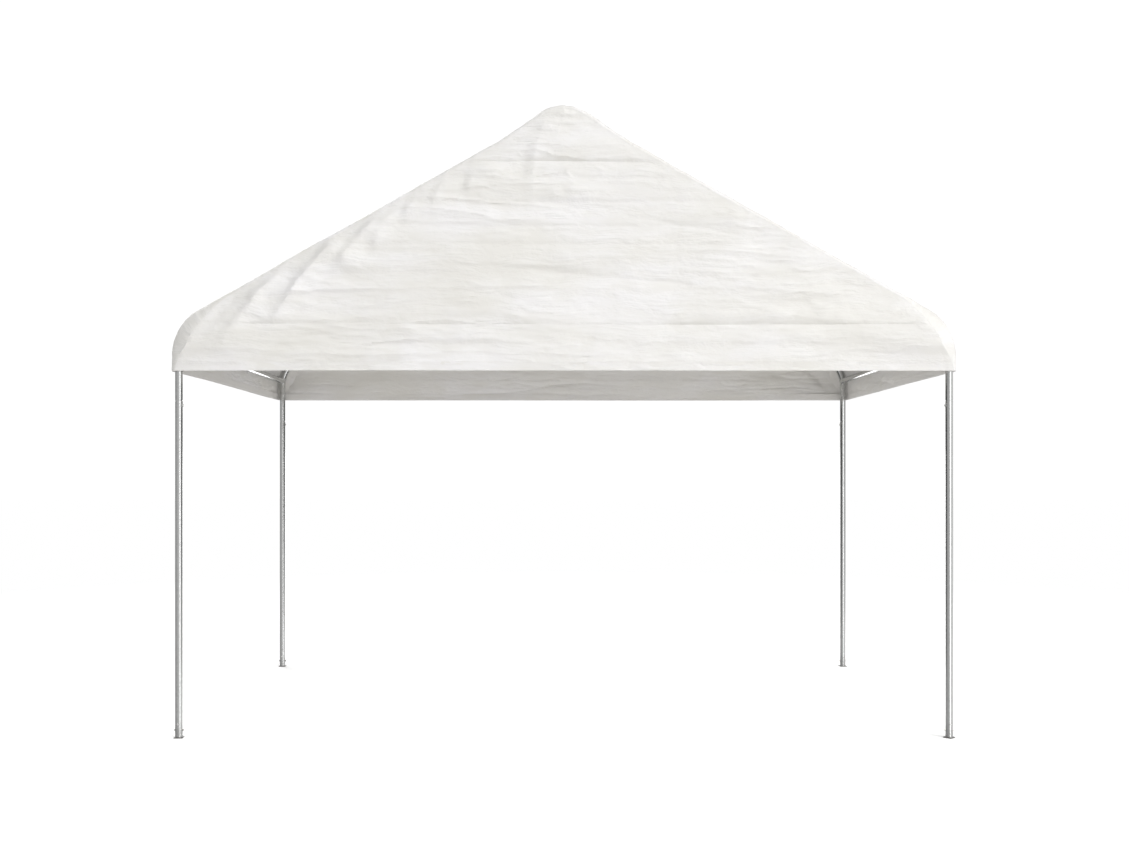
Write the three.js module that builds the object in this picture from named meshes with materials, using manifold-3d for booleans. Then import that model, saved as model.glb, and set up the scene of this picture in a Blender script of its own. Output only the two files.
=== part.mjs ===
// A gable-roof garden gazebo: a bolt-together frame of round steel tube under a sewn sheet cover.
// Millimetres. +X runs across the gable, +Y towards the rear and +Z up. The origin is on the
// ground, at the middle of the four legs.
import * as THREE from 'three';
import { mergeVertices } from 'three/addons/utils/BufferGeometryUtils.js';
import Module from 'manifold-3d';

const wasm = await Module();
wasm.setup();

// ---- Driving dimensions ----
const LEG_X = 2003; // leg centreline from the middle, across the gable
const LEG_Y = 1080; // leg centreline from the middle, front to rear
const EAVE_Z = 2142; // height at which the leg and rafter centrelines cross
const PITCH = THREE.MathUtils.degToRad(29.3); // rafters from the horizontal
const RIDGE_PITCH = THREE.MathUtils.degToRad(34); // arms of the ridge fitting
const RIDGE_ARM_X = 330; // where the ridge fitting's arm turns into the rafter's line
const HEM_Z = 1905; // bottom edge of the cover

const TUBE_RADIUS = 19; // 38 mm tube
const TUBE_BORE = 17.8;
const SPIGOT_RADIUS = 17.5; // the reduced end that slides into a tube
const SPIGOT_BORE = 16;
const SPIGOT_LENGTH = 110;
const TOUCH_GAP = 0.3; // between pieces that touch

const LEG_TOP_Z = 1750; // where the leg meets its corner fitting
const CORNER_BEND_RADIUS = 250;
const CORNER_ARM = 226; // from the centrelines' crossing to the rafter's lower end
const EAVE_PURLIN_Z = 2040;
const RIDGE_BEND_RADIUS = 200;
const RIDGE_JOINT_X = 362; // the rafter's upper end
const KINK_RADIUS = 400; // the ridge arm's slight turn into the rafter's line

const PLATE_SIDE = 48;
const PLATE_THICKNESS = 4;
const PEG_HOLE_RADIUS = 3;
const PEG_HOLE_OFFSET = 18; // from the plate's middle, along both of its sides
const PLATE_YAW = { front_left: 6, front_right: 45, rear_left: 0, rear_right: 9 }; // degrees

const FOOT_BOLT_Z = 40;
const FOOT_BOLT_RADIUS = 3;
const HEX_RADIUS = 5.8; // across the corners, halved
const BOLT_HEAD = 4;
const NUT_HEIGHT = 5;
const BOLT_TAIL = 2.5; // thread showing past the nut

const BUTTON_Z = 72;
const BUTTON_RADIUS = 4;
const BUTTON_PROUD = 4; // dome outside the tube
const BUTTON_FLANGE_RADIUS = 5.5;
const BUTTON_FLANGE_SEAT = 14.2; // from the leg's axis to the flange's outer face
const BUTTON_FLANGE_THICKNESS = 1.5;

const LEG_SCREW_DROP = 23; // below the top of the leg
const WELD_NUT_RADIUS = 7;
const WELD_NUT_HEIGHT = 3;
const SCREW_RADIUS = 2.5;
const SCREW_HEAD_RADIUS = 5;
const SCREW_HEAD_HEIGHT = 3;
const SCREW_TIP_RADIUS = 13; // from the tube's axis to the tip of a joint screw
const SCREW_FROM_END = 30; // from a tube's end to its screw

const COVER_THICKNESS = 2;
const COVER_SIDE_OFFSET = 35; // leg centreline to the cover's outer face
const COVER_ROOF_OFFSET = 22; // rafter centreline to the cover's outer face
const COVER_SHOULDER_RADIUS = 272;
const COVER_KINK_RADIUS = 300;

const SIDES = 16; // flats round a tube
const SMALL_SIDES = 8; // flats round a screw or its hole
const BUTTON_SIDES = 12;
const HEX_SIDES = 6;
const BEND_STEP = THREE.MathUtils.degToRad(12.2); // largest turn of one span in a bend

const SIDES_OF_GABLE = { left: -1, right: 1 };
const ENDS = { front: -1, rear: 1 };

// ---- Materials ----
const galvanised = new THREE.MeshStandardMaterial({ color: 0xb9bbb9, metalness: 0.9, roughness: 0.32 });
const zinc = new THREE.MeshStandardMaterial({ color: 0xcfcfca, metalness: 0.95, roughness: 0.25 });
const sheet = new THREE.MeshStandardMaterial({ color: 0xefeeea, metalness: 0, roughness: 0.6 });

// ---- Solids ----
function solid(geometry) {
  geometry.deleteAttribute('normal');
  geometry.deleteAttribute('uv');
  const merged = mergeVertices(geometry, 1e-4);
  return new wasm.Manifold(new wasm.Mesh({
    numProp: 3,
    vertProperties: merged.attributes.position.array,
    triVerts: new Uint32Array(merged.index.array),
  }));
}

function geometryOf(manifold) {
  const mesh = manifold.getMesh();
  const geometry = new THREE.BufferGeometry();
  geometry.setAttribute('position', new THREE.BufferAttribute(mesh.vertProperties, 3));
  geometry.setIndex(new THREE.BufferAttribute(mesh.triVerts, 1));
  geometry.computeVertexNormals();
  return geometry;
}

function circle(radius, sides = SIDES) {
  const turn = (2 * Math.PI) / sides;
  const points = Array.from({ length: sides }, (_, i) =>
    new THREE.Vector2(radius * Math.cos(i * turn), radius * Math.sin(i * turn)));
  return new THREE.Shape(points);
}

// A centreline of straight runs and round bends, with a station at each end of a straight and at
// each span of a bend. Every station keeps its exact direction.
class BentLine extends THREE.Curve {
  constructor(stations) {
    super();
    this.stations = stations;
  }

  station(u) {
    return this.stations[Math.round(u * (this.stations.length - 1))];
  }

  getPointAt(u) {
    return this.station(u).point.clone();
  }

  getTangentAt(u) {
    return this.station(u).direction.clone();
  }
}

function direction(from, to) {
  return to.clone().sub(from).normalize();
}

function along(point, heading, distance) {
  return point.clone().addScaledVector(heading, distance);
}

function bentLine(corners, radii) {
  const last = corners.length - 1;
  const stations = [{ point: corners[0], direction: direction(corners[0], corners[1]) }];
  for (let i = 1; i < last; i += 1) {
    const before = direction(corners[i - 1], corners[i]);
    const after = direction(corners[i], corners[i + 1]);
    const turn = before.angleTo(after);
    const radius = radii[i - 1];
    const start = along(corners[i], before, -radius * Math.tan(turn / 2));
    const inward = along(after, before, -Math.cos(turn)).normalize();
    const spans = Math.ceil(turn / BEND_STEP);
    for (let k = 0; k <= spans; k += 1) {
      const angle = (turn * k) / spans;
      stations.push({
        point: along(along(start, before, radius * Math.sin(angle)), inward, radius * (1 - Math.cos(angle))),
        direction: along(before.clone().multiplyScalar(Math.cos(angle)), inward, Math.sin(angle)),
      });
    }
  }
  stations.push({ point: corners[last], direction: direction(corners[last - 1], corners[last]) });
  return new BentLine(stations);
}

function sweep(line, radius, sides = SIDES) {
  return solid(new THREE.ExtrudeGeometry(circle(radius, sides), {
    extrudePath: line,
    steps: line.stations.length - 1,
    bevelEnabled: false,
  }));
}

function rod(from, to, radius, sides = SIDES) {
  return sweep(bentLine([from, to], []), radius, sides);
}

// The same line with its two ends moved outwards, or inwards where the distance is negative.
function lengthened(line, startBy, endBy = startBy) {
  const stations = line.stations.map(({ point, direction: heading }) => ({ point, direction: heading }));
  const first = stations[0];
  const last = stations[stations.length - 1];
  stations[0] = { ...first, point: along(first.point, first.direction, -startBy) };
  stations[stations.length - 1] = { ...last, point: along(last.point, last.direction, endBy) };
  return new BentLine(stations);
}

function straightTube(from, to) {
  const line = bentLine([from, to], []);
  return sweep(line, TUBE_RADIUS).subtract(sweep(lengthened(line, 1), TUBE_BORE));
}

// A point on the piece's own vertical axis.
function atHeight(z) {
  return new THREE.Vector3(0, 0, z);
}

// A hole from a tube's axis out through its wall.
function wallHole(centre, outward, radius, sides = SMALL_SIDES) {
  return rod(centre, along(centre, outward, TUBE_RADIUS + WELD_NUT_HEIGHT + 5), radius, sides);
}

const gazebo = new THREE.Group();

function add(name, shape, material, parent = gazebo) {
  const geometry = shape instanceof THREE.BufferGeometry ? shape : geometryOf(shape);
  const mesh = new THREE.Mesh(geometry, material);
  mesh.name = name;
  parent.add(mesh);
  return mesh;
}

// Turns a mesh whose own +Z is its outward axis.
function face(mesh, position, outward) {
  mesh.position.copy(position);
  mesh.quaternion.setFromUnitVectors(new THREE.Vector3(0, 0, 1), outward);
}

// ---- Fasteners ----
// A round-headed screw: the head's underside at z = 0, the shank below it.
function screwGeometry(shankLength) {
  const profile = [
    [0, -shankLength], [SCREW_RADIUS, -shankLength], [SCREW_RADIUS, 0], [SCREW_HEAD_RADIUS, 0],
    [SCREW_HEAD_RADIUS * 0.8, SCREW_HEAD_HEIGHT * 0.75], [0, SCREW_HEAD_HEIGHT],
  ].map(([r, z]) => new THREE.Vector2(r, z));
  return new THREE.LatheGeometry(profile, SMALL_SIDES).rotateX(Math.PI / 2);
}

// The head's own gap keeps it off the tube.
function addScrew(name, centre, outward, seat = TUBE_RADIUS, tip = SCREW_TIP_RADIUS) {
  const underside = seat + TOUCH_GAP;
  const screw = add(name, screwGeometry(underside - tip), zinc);
  face(screw, along(centre, outward, underside), outward);
}

function footBolt() {
  const underside = TUBE_RADIUS + TOUCH_GAP;
  const tail = -(TUBE_RADIUS + 2 * TOUCH_GAP + NUT_HEIGHT + BOLT_TAIL);
  const head = rod(atHeight(underside), atHeight(underside + BOLT_HEAD), HEX_RADIUS, HEX_SIDES);
  const shank = rod(atHeight(tail), atHeight(underside + 1), FOOT_BOLT_RADIUS, SMALL_SIDES);
  return head.add(shank);
}

function footNut() {
  const near = -(TUBE_RADIUS + 2 * TOUCH_GAP);
  const far = near - NUT_HEIGHT;
  const body = rod(atHeight(near), atHeight(far), HEX_RADIUS, HEX_SIDES);
  const thread = rod(atHeight(near + 1), atHeight(far - 1), FOOT_BOLT_RADIUS + TOUCH_GAP, SMALL_SIDES);
  return body.subtract(thread);
}

// A spring button: an inner flange that keeps it in the spigot, a pin and a domed nose. Its own
// +Z points out of the tube and z is the distance from the leg's axis.
function snapButtonGeometry() {
  const shoulder = TUBE_RADIUS + BUTTON_PROUD / 2;
  const nose = TUBE_RADIUS + BUTTON_PROUD;
  const dome = [0, 30, 60].map((degrees) => {
    const angle = THREE.MathUtils.degToRad(degrees);
    return [BUTTON_RADIUS * Math.cos(angle), shoulder + (nose - shoulder) * Math.sin(angle)];
  });
  const profile = [
    [0, BUTTON_FLANGE_SEAT - BUTTON_FLANGE_THICKNESS],
    [BUTTON_FLANGE_RADIUS, BUTTON_FLANGE_SEAT - BUTTON_FLANGE_THICKNESS],
    [BUTTON_FLANGE_RADIUS, BUTTON_FLANGE_SEAT],
    [BUTTON_RADIUS, BUTTON_FLANGE_SEAT],
    ...dome,
    [0, nose],
  ].map(([r, z]) => new THREE.Vector2(r, z));
  return new THREE.LatheGeometry(profile, BUTTON_SIDES).rotateX(Math.PI / 2);
}

// ---- Legs and feet ----
function boltHole(axis) {
  const middle = atHeight(FOOT_BOLT_Z);
  const reach = TUBE_RADIUS + 5;
  return rod(
    along(middle, axis, -reach), along(middle, axis, reach), FOOT_BOLT_RADIUS + TOUCH_GAP, SMALL_SIDES);
}

function buttonHole(outward) {
  return wallHole(atHeight(BUTTON_Z), outward, BUTTON_RADIUS + TOUCH_GAP, BUTTON_SIDES);
}

// A base plate with a peg hole in two of its corners, and the spigot welded to it.
function foot(yawDegrees, buttonOutward, boltAxis) {
  const plateGeometry = new THREE.BoxGeometry(PLATE_SIDE, PLATE_SIDE, PLATE_THICKNESS);
  let plate = solid(plateGeometry.translate(0, 0, PLATE_THICKNESS / 2));
  for (const corner of [-1, 1]) {
    const place = new THREE.Vector3(corner * PEG_HOLE_OFFSET, corner * PEG_HOLE_OFFSET, -1);
    plate = plate.subtract(rod(place, along(place, UP, PLATE_THICKNESS + 2), PEG_HOLE_RADIUS, SMALL_SIDES));
  }
  const spigotTop = PLATE_THICKNESS + SPIGOT_LENGTH;
  return plate
    .rotate([0, 0, yawDegrees])
    .add(rod(atHeight(PLATE_THICKNESS / 2), atHeight(spigotTop), SPIGOT_RADIUS))
    .subtract(rod(atHeight(PLATE_THICKNESS), atHeight(spigotTop + 1), SPIGOT_BORE))
    .subtract(boltHole(boltAxis))
    .subtract(buttonHole(buttonOutward));
}

// The leg's clamp screw turns in a hexagonal nut welded over its hole.
function leg(buttonOutward, boltAxis, screwOutward) {
  const screwCentre = atHeight(LEG_TOP_Z - LEG_SCREW_DROP);
  const weldNut = rod(
    along(screwCentre, screwOutward, TUBE_RADIUS - 2),
    along(screwCentre, screwOutward, TUBE_RADIUS + WELD_NUT_HEIGHT), WELD_NUT_RADIUS, HEX_SIDES);
  const bottom = PLATE_THICKNESS + TOUCH_GAP;
  return rod(atHeight(bottom), atHeight(LEG_TOP_Z), TUBE_RADIUS)
    .add(weldNut)
    .subtract(rod(atHeight(bottom - 1), atHeight(LEG_TOP_Z + 1), TUBE_BORE))
    .subtract(boltHole(boltAxis))
    .subtract(buttonHole(buttonOutward))
    .subtract(wallHole(screwCentre, screwOutward, SCREW_RADIUS + TOUCH_GAP));
}

function addLeg(corner, sideSign, endSign) {
  const buttonOutward = new THREE.Vector3(0, -1, 0);
  const outer = new THREE.Vector3(sideSign, 0, 0);
  const inner = outer.clone().negate();
  const post = new THREE.Group();
  post.position.set(sideSign * LEG_X, endSign * LEG_Y, 0);
  gazebo.add(post);

  add(`foot_${corner}`, foot(PLATE_YAW[corner], buttonOutward, outer), galvanised, post);
  add(`leg_${corner}`, leg(buttonOutward, outer, inner), galvanised, post);

  const boltCentre = atHeight(FOOT_BOLT_Z);
  face(add(`foot_bolt_${corner}`, footBolt(), zinc, post), boltCentre, outer);
  face(add(`foot_nut_${corner}`, footNut(), zinc, post), boltCentre, outer);
  const button = add(`snap_button_${corner}`, snapButtonGeometry(), zinc, post);
  face(button, atHeight(BUTTON_Z), buttonOutward);

  const screwCentre = post.position.clone().setZ(LEG_TOP_Z - LEG_SCREW_DROP);
  addScrew(`leg_screw_${corner}`, screwCentre, inner, TUBE_RADIUS + WELD_NUT_HEIGHT, TUBE_BORE);
}

// ---- Roof frame ----
const UP = new THREE.Vector3(0, 0, 1);

// Up the rafter's slope, from the eave towards the ridge.
function rafterHeading(sideSign) {
  return new THREE.Vector3(-sideSign * Math.cos(PITCH), 0, Math.sin(PITCH));
}

function rafterUnderside(sideSign) {
  return new THREE.Vector3(-sideSign * Math.sin(PITCH), 0, -Math.cos(PITCH));
}

function eavePoint(sideSign, y) {
  return new THREE.Vector3(sideSign * LEG_X, y, EAVE_Z);
}

// A point on the rafter's line, at a distance x from the middle.
function rafterPoint(sideSign, y, x) {
  return new THREE.Vector3(sideSign * x, y, EAVE_Z + (LEG_X - x) * Math.tan(PITCH));
}

const RIDGE_APEX_Z = EAVE_Z + (LEG_X - RIDGE_ARM_X) * Math.tan(PITCH) + RIDGE_ARM_X * Math.tan(RIDGE_PITCH);
const RIDGE_Z = RIDGE_APEX_Z - RIDGE_BEND_RADIUS * (1 / Math.cos(RIDGE_PITCH) - 1); // ridge centreline

const UNDERSIDE = new THREE.Vector3(0, 0, -1);

// A fitting: a full-size body over a reduced tube whose two ends stand out as spigots, with a third
// spigot across it for the purlin. All of it is hollow, and the body's bore is not broken into.
function fitting(bodyLine, purlinAt, inward, screws) {
  const core = lengthened(bodyLine, SPIGOT_LENGTH);
  const stubBase = along(purlinAt, inward, SPIGOT_BORE + 0.5);
  const stubEnd = along(purlinAt, inward, TUBE_RADIUS + SPIGOT_LENGTH);
  const stubFloor = along(purlinAt, inward, TUBE_RADIUS + 2);
  const shape = sweep(bodyLine, TUBE_RADIUS)
    .add(sweep(core, SPIGOT_RADIUS))
    .add(rod(stubBase, stubEnd, SPIGOT_RADIUS))
    .subtract(sweep(lengthened(core, 1), SPIGOT_BORE))
    .subtract(rod(stubFloor, along(stubEnd, inward, 1), SPIGOT_BORE));
  return screwed(shape, screws);
}

function lowRafterEnd(sideSign, y) {
  return along(eavePoint(sideSign, y), rafterHeading(sideSign), CORNER_ARM + TOUCH_GAP);
}

function rafterScrews(sideSign, y) {
  const heading = rafterHeading(sideSign);
  const outward = rafterUnderside(sideSign);
  return {
    low: { centre: along(lowRafterEnd(sideSign, y), heading, SCREW_FROM_END), outward },
    high: { centre: along(rafterPoint(sideSign, y, RIDGE_JOINT_X), heading, -SCREW_FROM_END), outward },
  };
}

const PURLIN_END_Y = LEG_Y - TUBE_RADIUS - 1; // a purlin's end, clear of the fitting's round side

function purlinScrew(x, z, endSign) {
  return { centre: new THREE.Vector3(x, endSign * (PURLIN_END_Y - SCREW_FROM_END), z), outward: UNDERSIDE };
}

// The corner bend's centreline stands a little inside the leg's line at the purlin's height.
const BEND_START_Z = EAVE_Z - CORNER_BEND_RADIUS * Math.tan((Math.PI / 2 - PITCH) / 2);
const PURLIN_RISE = EAVE_PURLIN_Z - BEND_START_Z;
const EAVE_PURLIN_X = LEG_X - CORNER_BEND_RADIUS + Math.sqrt(CORNER_BEND_RADIUS ** 2 - PURLIN_RISE ** 2);

function cornerFitting(sideSign, endSign) {
  const y = endSign * LEG_Y;
  const eave = eavePoint(sideSign, y);
  const bodyLine = bentLine([
    new THREE.Vector3(sideSign * LEG_X, y, LEG_TOP_Z + TOUCH_GAP),
    eave,
    along(eave, rafterHeading(sideSign), CORNER_ARM),
  ], [CORNER_BEND_RADIUS]);
  const purlinAt = new THREE.Vector3(sideSign * EAVE_PURLIN_X, y, EAVE_PURLIN_Z);
  const holes = [rafterScrews(sideSign, y).low, purlinScrew(purlinAt.x, purlinAt.z, endSign)];
  return fitting(bodyLine, purlinAt, new THREE.Vector3(0, -endSign, 0), holes);
}

function ridgeFitting(endSign) {
  const y = endSign * LEG_Y;
  const armEnd = (sideSign) => along(
    rafterPoint(sideSign, y, RIDGE_JOINT_X), rafterHeading(sideSign), TOUCH_GAP);
  const bodyLine = bentLine([
    armEnd(-1),
    rafterPoint(-1, y, RIDGE_ARM_X),
    new THREE.Vector3(0, y, RIDGE_APEX_Z),
    rafterPoint(1, y, RIDGE_ARM_X),
    armEnd(1),
  ], [KINK_RADIUS, RIDGE_BEND_RADIUS, KINK_RADIUS]);
  const holes = [rafterScrews(-1, y).high, rafterScrews(1, y).high, purlinScrew(0, RIDGE_Z, endSign)];
  return fitting(bodyLine, new THREE.Vector3(0, y, RIDGE_Z), new THREE.Vector3(0, -endSign, 0), holes);
}

function screwed(shape, screws) {
  const holes = screws.map(({ centre, outward }) => wallHole(centre, outward, SCREW_RADIUS + TOUCH_GAP));
  return holes.reduce((rest, hole) => rest.subtract(hole), shape);
}

function addRafter(corner, sideSign, endSign) {
  const y = endSign * LEG_Y;
  const screws = rafterScrews(sideSign, y);
  const tube = straightTube(lowRafterEnd(sideSign, y), rafterPoint(sideSign, y, RIDGE_JOINT_X));
  add(`rafter_${corner}`, screwed(tube, Object.values(screws)), galvanised);
  for (const [height, { centre, outward }] of Object.entries(screws)) {
    addScrew(`rafter_screw_${height}_${corner}`, centre, outward);
  }
}

function addPurlin(name, x, z) {
  const tube = straightTube(new THREE.Vector3(x, -PURLIN_END_Y, z), new THREE.Vector3(x, PURLIN_END_Y, z));
  const screws = Object.entries(ENDS).map(([end, endSign]) => ({ end, ...purlinScrew(x, z, endSign) }));
  add(name, screwed(tube, screws), galvanised);
  for (const { end, centre, outward } of screws) {
    addScrew(`${name}_screw_${end}`, centre, outward);
  }
}

// ---- Cover ----
// The cover's outer face in the gable's plane: x from the middle, y upwards. It runs from the right
// hem over the ridge to the left hem.
function coverOutline() {
  const roofRise = COVER_ROOF_OFFSET / Math.cos(PITCH);
  const sideX = LEG_X + COVER_SIDE_OFFSET;
  const shoulderZ = EAVE_Z - COVER_SIDE_OFFSET * Math.tan(PITCH) + roofRise;
  const apexZ = RIDGE_APEX_Z + COVER_ROOF_OFFSET / Math.cos(RIDGE_PITCH);
  const kinkX = (apexZ - shoulderZ - sideX * Math.tan(PITCH)) / (Math.tan(RIDGE_PITCH) - Math.tan(PITCH));
  const kinkZ = apexZ - kinkX * Math.tan(RIDGE_PITCH);
  return bentLine([
    new THREE.Vector3(sideX, HEM_Z, 0),
    new THREE.Vector3(sideX, shoulderZ, 0),
    new THREE.Vector3(kinkX, kinkZ, 0),
    new THREE.Vector3(0, apexZ, 0),
    new THREE.Vector3(-kinkX, kinkZ, 0),
    new THREE.Vector3(-sideX, shoulderZ, 0),
    new THREE.Vector3(-sideX, HEM_Z, 0),
  ], [
    COVER_SHOULDER_RADIUS, COVER_KINK_RADIUS, RIDGE_BEND_RADIUS + COVER_ROOF_OFFSET,
    COVER_KINK_RADIUS, COVER_SHOULDER_RADIUS,
  ]);
}

function flat(points) {
  return new THREE.Shape(points.map(({ x, y }) => new THREE.Vector2(x, y)));
}

// Stands a shape drawn in x and z up in the gable's plane, between two y values.
function upright(shape, yLow, yHigh) {
  return new THREE.ExtrudeGeometry(shape, { depth: yHigh - yLow, bevelEnabled: false })
    .rotateX(Math.PI / 2)
    .translate(0, yHigh, 0);
}

const GABLE_Y = LEG_Y + COVER_SIDE_OFFSET;

// One sewn panel of the roof or a side, as a band along part of the outline.
function coverBand(stations) {
  const trimmed = lengthened(new BentLine(stations), -TOUCH_GAP / 2).stations;
  const outer = trimmed.map(({ point }) => point);
  const inner = trimmed.map(({ point, direction: heading }) =>
    along(point, new THREE.Vector3(-heading.y, heading.x, 0), COVER_THICKNESS));
  const reach = GABLE_Y - COVER_THICKNESS - TOUCH_GAP;
  return upright(flat([...outer, ...inner.reverse()]), -reach, reach);
}

function addCover() {
  const outline = coverOutline().stations;
  const bendSpans = (turn) => Math.ceil(turn / BEND_STEP);
  const shoulderEnd = 1 + bendSpans(Math.PI / 2 - PITCH); // station at the top of the right shoulder
  const kinkStart = shoulderEnd + 1;
  const mirrored = (index) => outline.length - 1 - index;
  const panels = {
    cover_side_right: [0, shoulderEnd],
    cover_roof_right: [shoulderEnd, kinkStart],
    cover_ridge: [kinkStart, mirrored(kinkStart)],
    cover_roof_left: [mirrored(kinkStart), mirrored(shoulderEnd)],
    cover_side_left: [mirrored(shoulderEnd), mirrored(0)],
  };
  for (const [name, [first, last]] of Object.entries(panels)) {
    add(name, coverBand(outline.slice(first, last + 1)), sheet);
  }
  const gable = flat(outline.map(({ point }) => point));
  add('cover_gable_front', upright(gable, -GABLE_Y, -GABLE_Y + COVER_THICKNESS), sheet);
  add('cover_gable_rear', upright(gable, GABLE_Y - COVER_THICKNESS, GABLE_Y), sheet);
}

// ---- Assembly ----
for (const [end, endSign] of Object.entries(ENDS)) {
  for (const [side, sideSign] of Object.entries(SIDES_OF_GABLE)) {
    const corner = `${end}_${side}`;
    addLeg(corner, sideSign, endSign);
    add(`corner_fitting_${corner}`, cornerFitting(sideSign, endSign), galvanised);
    addRafter(corner, sideSign, endSign);
  }
  add(`ridge_fitting_${end}`, ridgeFitting(endSign), galvanised);
}
for (const [side, sideSign] of Object.entries(SIDES_OF_GABLE)) {
  addPurlin(`eave_purlin_${side}`, sideSign * EAVE_PURLIN_X, EAVE_PURLIN_Z);
}
addPurlin('ridge_purlin', 0, RIDGE_Z);
addCover();

export default gazebo;
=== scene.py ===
import math

import bmesh
import bpy
from mathutils import Matrix, Vector, noise


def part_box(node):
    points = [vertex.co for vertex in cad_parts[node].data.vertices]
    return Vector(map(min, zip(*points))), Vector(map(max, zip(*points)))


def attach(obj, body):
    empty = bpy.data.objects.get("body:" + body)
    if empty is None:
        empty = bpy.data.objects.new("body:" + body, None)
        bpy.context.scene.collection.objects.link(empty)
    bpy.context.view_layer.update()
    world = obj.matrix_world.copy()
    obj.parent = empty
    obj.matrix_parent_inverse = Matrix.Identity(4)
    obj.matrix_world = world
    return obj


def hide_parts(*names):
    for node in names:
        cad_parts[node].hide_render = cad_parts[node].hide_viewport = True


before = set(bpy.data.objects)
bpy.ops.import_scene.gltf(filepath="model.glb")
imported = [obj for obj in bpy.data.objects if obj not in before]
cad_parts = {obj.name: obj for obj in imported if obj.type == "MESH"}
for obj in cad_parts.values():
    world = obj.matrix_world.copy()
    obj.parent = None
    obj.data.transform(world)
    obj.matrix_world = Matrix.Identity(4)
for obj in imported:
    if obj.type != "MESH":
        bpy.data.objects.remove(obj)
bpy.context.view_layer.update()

X, Y, Z = Vector((1, 0, 0)), Vector((0, 1, 0)), Vector((0, 0, 1))
GABLE_SIDES = {"left": -1, "right": 1}
ENDS = {"front": -1, "rear": 1}

# ---- Dimensions ----
TUBE_RADIUS = 0.019
TUBE_BORE = 0.0178
SPIGOT_RADIUS = 0.0175
SPIGOT_BORE = 0.016
SPIGOT_LENGTH = 0.110
SPIGOT_SUNK = 0.001  # how far a foot's spigot goes into its plate
TOUCH_GAP = 0.0003
EDGE = 0.0003  # bevel of a sawn tube's edges
SWAGE = 0.006  # length over which a fitting narrows to its spigot
SWAGE_HALFWAY = SPIGOT_RADIUS + 0.0011  # radius in the middle of that length
BEAD_RADIUS = 0.0022  # weld bead

PITCH = math.radians(29.3)
RIDGE_PITCH = math.radians(34)
RIDGE_ARM_X = 0.330
RIDGE_JOINT_X = 0.362
KINK_RADIUS = 0.400
RIDGE_BEND_RADIUS = 0.200
CORNER_BEND_RADIUS = 0.250
CORNER_ARM = 0.226
EAVE_Z = 2.142
PLATE_SIDE = 0.048
PLATE_THICKNESS = 0.004
PLATE_CHAMFER = 0.0005
PLATE_CORNER = 0.004
PLATE_YAW = {"front_left": 6, "front_right": 45, "rear_left": 0, "rear_right": 9}  # degrees
PEG_HOLE_OFFSET = 0.018
PEG_HOLE_RADIUS = 0.003
FOOT_BOLT_Z = 0.040
FOOT_BOLT_RADIUS = 0.003
HEX_RADIUS = 0.0058
BOLT_HEAD = 0.004
NUT_HEIGHT = 0.005
BOLT_TAIL = 0.0025
THREAD_PITCH = 0.001
THREAD_DEPTH = 0.0004
BUTTON_Z = 0.072
BUTTON_RADIUS = 0.004
BUTTON_PROUD = 0.004
BUTTON_FLANGE_RADIUS = 0.0055
BUTTON_FLANGE_SEAT = 0.0142
BUTTON_FLANGE_THICKNESS = 0.0015
LEG_SCREW_DROP = 0.023
WELD_NUT_RADIUS = 0.007
WELD_NUT_HEIGHT = 0.003
SCREW_RADIUS = 0.0025
SCREW_HEAD_RADIUS = 0.005
SCREW_HEAD_HEIGHT = 0.003
SCREW_HEAD_RIM = 0.0006
SCREW_TIP_RADIUS = 0.013
SCREW_FROM_END = 0.030

# The frame as packed gives the legs', purlins' and cover's places.
leg_low, leg_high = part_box("leg_front_right")
PLATE_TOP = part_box("foot_front_right")[0][2] + PLATE_THICKNESS
LEG_BOTTOM = leg_low[2]
LEG_TOP = leg_high[2]
LEG_X = leg_high[0] - TUBE_RADIUS
LEG_Y = -(leg_low[1] + leg_high[1]) / 2
ridge_low, ridge_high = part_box("ridge_purlin")
RIDGE_Z = (ridge_low[2] + ridge_high[2]) / 2
PURLIN_END = ridge_high[1]
eave_low, eave_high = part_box("eave_purlin_right")
EAVE_PURLIN_X = (eave_low[0] + eave_high[0]) / 2
EAVE_PURLIN_Z = eave_high[2] - TUBE_RADIUS
HEM_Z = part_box("cover_side_right")[0][2]
COVER_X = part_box("cover_side_right")[1][0]
COVER_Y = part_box("cover_gable_rear")[1][1]
RIDGE_APEX_Z = EAVE_Z + (LEG_X - RIDGE_ARM_X) * math.tan(PITCH) + RIDGE_ARM_X * math.tan(RIDGE_PITCH)

TUBE_SIDES = 40
SMALL_SIDES = 24
HEX_SIDES = 48


# ---- Camera, light and floor ----
LENS = 35.3
SENSOR_WIDTH = 36
CAMERA_SHIFT = (0.005, 0.047)
CAMERA_PLACE = (-0.027, -LEG_Y - 5.758, 1.36)
KEY_RADIANCE = 5.75
FRONT_RADIANCE = 2.2
STRIP_RADIANCE = 2.6
REAR_RADIANCE = 4.0
BACKGROUND = 1.05  # the studio's white, as the camera sees it
FLOOR_BOUNCE = 0.80  # what the floor gives back to the object
FLOOR_WARMTH = 0.022
FLOOR_SEEN = 0.96  # how pale it looks to the camera
FLOOR_LIFT = 0.22  # light added to it there
FLOOR_FADE = (3.0, 9.0)  # distances between which it turns into the background
FLOOR_REACH = 60


def add_object(name, data):
    added = bpy.data.objects.new(name, data)
    bpy.context.collection.objects.link(added)
    return added


def add_camera():
    data = bpy.data.cameras.new("camera")
    data.lens = LENS
    data.sensor_width = SENSOR_WIDTH
    data.shift_x, data.shift_y = CAMERA_SHIFT
    data.clip_end = 200
    camera = add_object("camera", data)
    camera.location = CAMERA_PLACE
    camera.rotation_euler = (math.pi / 2, 0, 0)
    bpy.context.scene.camera = camera


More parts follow.
